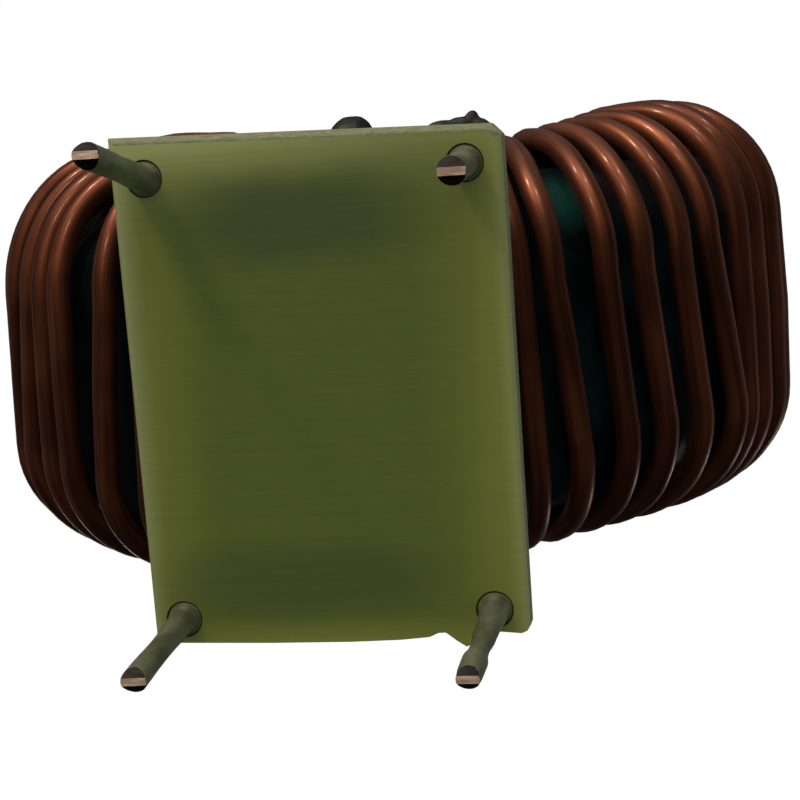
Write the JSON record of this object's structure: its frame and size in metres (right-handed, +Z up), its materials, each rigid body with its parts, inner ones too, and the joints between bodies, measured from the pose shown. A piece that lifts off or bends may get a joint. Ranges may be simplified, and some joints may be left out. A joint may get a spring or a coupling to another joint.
{
  "type": "toroidal inductor",
  "caption": "Toroidal power inductor: coated ring core wound with enamelled copper wire, glued upright on a drilled plate, with four tinned wire ends as pins.",
  "frame": {"origin": "middle of the pins' 15 mm by 21 mm grid, on the plate's underside", "axes": "+Z up from the plate through the ring, pins point to -Z; +Y along the plate's long side and near the ring's own axis; +X across the plate"},
  "size_m": [0.0462, 0.0251, 0.0572],
  "materials": {
    "core_coating": "dark green baked epoxy coating, satin with a slight orange peel",
    "enamelled_copper": "glossy brown enamel over drawn copper wire",
    "board": "bare translucent glass-fibre laminate, yellow green",
    "tinned_wire": "hot-dipped tin, dull bright, with bare copper at the cut tips",
    "black_glue": "cured black glue with rounded lumps"
  },
  "bodies": {
    "root": {"core": "core_coating", "winding_a": "enamelled_copper", "winding_b": "enamelled_copper", "base_plate": "board", "pin_front_left": "tinned_wire", "pin_front_right": "tinned_wire", "pin_back_right": "tinned_wire", "pin_back_left": "tinned_wire", "glue_front": "black_glue", "glue_back": "black_glue", "glue_corner": "black_glue"}
  },
  "joints": []
}
